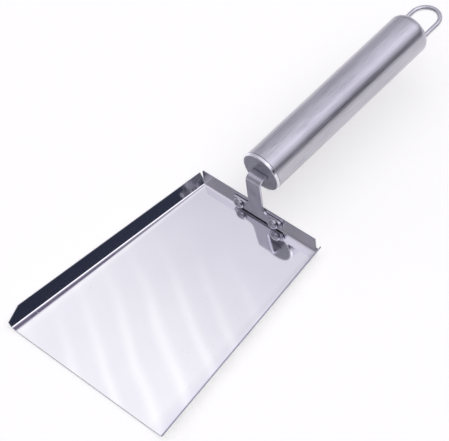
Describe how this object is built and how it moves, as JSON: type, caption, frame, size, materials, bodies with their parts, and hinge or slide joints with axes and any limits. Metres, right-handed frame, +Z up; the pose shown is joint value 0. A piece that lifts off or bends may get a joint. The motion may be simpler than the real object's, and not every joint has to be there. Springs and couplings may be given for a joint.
{
  "type": "bench scraper",
  "caption": "Flat-bottomed stainless scraper pan with low side and back walls, a riveted bracket and a raised round hollow handle with a hanging loop.",
  "frame": {"origin": "centre of the bounding box, on the plane the pan's underside rests on", "axes": "+Z up from the bench; the pan's open front edge is towards -Y; the handle and its hanging loop are towards +Y; +X completes the right-handed frame"},
  "size_m": [0.1224, 0.2994, 0.0467],
  "materials": {
    "blade_pan": "mirror-polished stainless sheet",
    "neck_bracket": "satin stainless strap",
    "rivets": "polished stainless",
    "handle_tube": "fine lengthwise brushed stainless",
    "front_cap": "polished rim, satin face",
    "tang_welds": "as-welded stainless",
    "hanging_loop": "bright drawn stainless wire"
  },
  "bodies": {
    "root": {"blade_pan": "blade_pan", "neck_bracket": "neck_bracket", "rivet_left": "rivets", "rivet_right": "rivets", "handle_tube": "handle_tube", "front_cap": "front_cap", "tang_weld_upper": "tang_welds", "tang_weld_lower": "tang_welds", "hanging_loop": "hanging_loop"}
  },
  "joints": []
}
